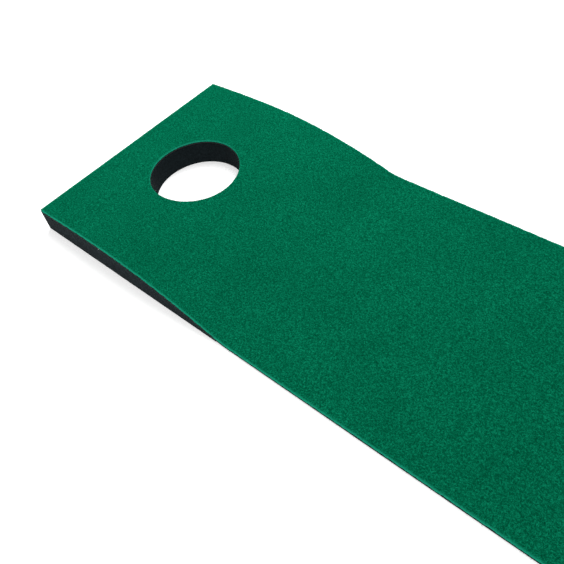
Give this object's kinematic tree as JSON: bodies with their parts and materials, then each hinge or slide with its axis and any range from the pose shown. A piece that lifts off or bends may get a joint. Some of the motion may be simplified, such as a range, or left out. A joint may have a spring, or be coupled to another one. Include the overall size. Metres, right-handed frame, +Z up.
{
  "type": "practice putting mat",
  "caption": "Flat putting mat of green turf on a thin backing, raised at one end on a foam wedge with a round cup hole, whose strip rolls up for storage.",
  "frame": {"origin": "on the floor, at the centre of the mat's footprint", "axes": "+X along the mat from the wedge end to the free end, +Y across the mat, +Z up; the front edge is at -Y"},
  "size_m": [2.438, 0.28, 0.0322],
  "materials": {
    "turf": "short dense green pile, matt",
    "backing": "thin black latex backing, matt",
    "foam": "cut black closed-cell foam, matt with fine cells",
    "tape": "thin double-sided mounting tape"
  },
  "bodies": {
    "wedge_end": {"foam_wedge": "foam", "wedge_tape_front": "tape", "wedge_tape_back": "tape", "wedge_tape_end": "tape", "backing_head": "backing", "turf_head": "turf"},
    "segment_01": {"backing_01": "backing", "turf_01": "turf"},
    "segment_02": {"backing_02": "backing", "turf_02": "turf"},
    "segment_03": {"backing_03": "backing", "turf_03": "turf"},
    "segment_04": {"backing_04": "backing", "turf_04": "turf"},
    "segment_05": {"backing_05": "backing", "turf_05": "turf"},
    "segment_06": {"backing_06": "backing", "turf_06": "turf"},
    "segment_07": {"backing_07": "backing", "turf_07": "turf"},
    "segment_08": {"backing_08": "backing", "turf_08": "turf"},
    "segment_09": {"backing_09": "backing", "turf_09": "turf"},
    "segment_10": {"backing_10": "backing", "turf_10": "turf"},
    "segment_11": {"backing_11": "backing", "turf_11": "turf"},
    "segment_12": {"backing_12": "backing", "turf_12": "turf"},
    "segment_13": {"backing_13": "backing", "turf_13": "turf"},
    "segment_14": {"backing_14": "backing", "turf_14": "turf"},
    "segment_15": {"backing_15": "backing", "turf_15": "turf"},
    "segment_16": {"backing_16": "backing", "turf_16": "turf"},
    "segment_17": {"backing_17": "backing", "turf_17": "turf"},
    "segment_18": {"backing_18": "backing", "turf_18": "turf"},
    "segment_19": {"backing_19": "backing", "turf_19": "turf"},
    "segment_20": {"backing_20": "backing", "turf_20": "turf"},
    "segment_21": {"backing_21": "backing", "turf_21": "turf"},
    "segment_22": {"backing_22": "backing", "turf_22": "turf"}
  },
  "joints": [
    {"name": "roll_hinge_01", "type": "hinge", "parent": "wedge_end", "child": "segment_01", "pos_m": [-0.804, 0, 0.0038], "axis": [0, -1, 0], "range_deg": [0, 45]},
    {"name": "roll_hinge_02", "type": "hinge", "parent": "segment_01", "child": "segment_02", "pos_m": [-0.69791, 0, 0.0038], "axis": [0, -1, 0], "range_deg": [0, 45]},
    {"name": "roll_hinge_03", "type": "hinge", "parent": "segment_02", "child": "segment_03", "pos_m": [-0.59317, 0, 0.0038], "axis": [0, -1, 0], "range_deg": [0, 45]},
    {"name": "roll_hinge_04", "type": "hinge", "parent": "segment_03", "child": "segment_04", "pos_m": [-0.48977, 0, 0.0038], "axis": [0, -1, 0], "range_deg": [0, 45]},
    {"name": "roll_hinge_05", "type": "hinge", "parent": "segment_04", "child": "segment_05", "pos_m": [-0.38772, 0, 0.0038], "axis": [0, -1, 0], "range_deg": [0, 45]},
    {"name": "roll_hinge_06", "type": "hinge", "parent": "segment_05", "child": "segment_06", "pos_m": [-0.28701, 0, 0.0038], "axis": [0, -1, 0], "range_deg": [0, 45]},
    {"name": "roll_hinge_07", "type": "hinge", "parent": "segment_06", "child": "segment_07", "pos_m": [-0.18766, 0, 0.0038], "axis": [0, -1, 0], "range_deg": [0, 45]},
    {"name": "roll_hinge_08", "type": "hinge", "parent": "segment_07", "child": "segment_08", "pos_m": [-0.08964, 0, 0.0038], "axis": [0, -1, 0], "range_deg": [0, 45]},
    {"name": "roll_hinge_09", "type": "hinge", "parent": "segment_08", "child": "segment_09", "pos_m": [0.00702, 0, 0.0038], "axis": [0, -1, 0], "range_deg": [0, 45]},
    {"name": "roll_hinge_10", "type": "hinge", "parent": "segment_09", "child": "segment_10", "pos_m": [0.10234, 0, 0.0038], "axis": [0, -1, 0], "range_deg": [0, 45]},
    {"name": "roll_hinge_11", "type": "hinge", "parent": "segment_10", "child": "segment_11", "pos_m": [0.19632, 0, 0.0038], "axis": [0, -1, 0], "range_deg": [0, 45]},
    {"name": "roll_hinge_12", "type": "hinge", "parent": "segment_11", "child": "segment_12", "pos_m": [0.28894, 0, 0.0038], "axis": [0, -1, 0], "range_deg": [0, 45]},
    {"name": "roll_hinge_13", "type": "hinge", "parent": "segment_12", "child": "segment_13", "pos_m": [0.38023, 0, 0.0038], "axis": [0, -1, 0], "range_deg": [0, 45]},
    {"name": "roll_hinge_14", "type": "hinge", "parent": "segment_13", "child": "segment_14", "pos_m": [0.47016, 0, 0.0038], "axis": [0, -1, 0], "range_deg": [0, 45]},
    {"name": "roll_hinge_15", "type": "hinge", "parent": "segment_14", "child": "segment_15", "pos_m": [0.55875, 0, 0.0038], "axis": [0, -1, 0], "range_deg": [0, 45]},
    {"name": "roll_hinge_16", "type": "hinge", "parent": "segment_15", "child": "segment_16", "pos_m": [0.64599, 0, 0.0038], "axis": [0, -1, 0], "range_deg": [0, 45]},
    {"name": "roll_hinge_17", "type": "hinge", "parent": "segment_16", "child": "segment_17", "pos_m": [0.73189, 0, 0.0038], "axis": [0, -1, 0], "range_deg": [0, 45]},
    {"name": "roll_hinge_18", "type": "hinge", "parent": "segment_17", "child": "segment_18", "pos_m": [0.81644, 0, 0.0038], "axis": [0, -1, 0], "range_deg": [0, 45]},
    {"name": "roll_hinge_19", "type": "hinge", "parent": "segment_18", "child": "segment_19", "pos_m": [0.89964, 0, 0.0038], "axis": [0, -1, 0], "range_deg": [0, 45]},
    {"name": "roll_hinge_20", "type": "hinge", "parent": "segment_19", "child": "segment_20", "pos_m": [0.9815, 0, 0.0038], "axis": [0, -1, 0], "range_deg": [0, 45]},
    {"name": "roll_hinge_21", "type": "hinge", "parent": "segment_20", "child": "segment_21", "pos_m": [1.06201, 0, 0.0038], "axis": [0, -1, 0], "range_deg": [0, 45]},
    {"name": "roll_hinge_22", "type": "hinge", "parent": "segment_21", "child": "segment_22", "pos_m": [1.14118, 0, 0.0038], "axis": [0, -1, 0], "range_deg": [0, 45]}
  ],
  "couplings": [
    {"joint": "roll_hinge_02", "follows": "roll_hinge_01", "ratio": 1},
    {"joint": "roll_hinge_03", "follows": "roll_hinge_01", "ratio": 1},
    {"joint": "roll_hinge_04", "follows": "roll_hinge_01", "ratio": 1},
    {"joint": "roll_hinge_05", "follows": "roll_hinge_01", "ratio": 1},
    {"joint": "roll_hinge_06", "follows": "roll_hinge_01", "ratio": 1},
    {"joint": "roll_hinge_07", "follows": "roll_hinge_01", "ratio": 1},
    {"joint": "roll_hinge_08", "follows": "roll_hinge_01", "ratio": 1},
    {"joint": "roll_hinge_09", "follows": "roll_hinge_01", "ratio": 1},
    {"joint": "roll_hinge_10", "follows": "roll_hinge_01", "ratio": 1},
    {"joint": "roll_hinge_11", "follows": "roll_hinge_01", "ratio": 1},
    {"joint": "roll_hinge_12", "follows": "roll_hinge_01", "ratio": 1},
    {"joint": "roll_hinge_13", "follows": "roll_hinge_01", "ratio": 1},
    {"joint": "roll_hinge_14", "follows": "roll_hinge_01", "ratio": 1},
    {"joint": "roll_hinge_15", "follows": "roll_hinge_01", "ratio": 1},
    {"joint": "roll_hinge_16", "follows": "roll_hinge_01", "ratio": 1},
    {"joint": "roll_hinge_17", "follows": "roll_hinge_01", "ratio": 1},
    {"joint": "roll_hinge_18", "follows": "roll_hinge_01", "ratio": 1},
    {"joint": "roll_hinge_19", "follows": "roll_hinge_01", "ratio": 1},
    {"joint": "roll_hinge_20", "follows": "roll_hinge_01", "ratio": 1},
    {"joint": "roll_hinge_21", "follows": "roll_hinge_01", "ratio": 1},
    {"joint": "roll_hinge_22", "follows": "roll_hinge_01", "ratio": 1}
  ]
}
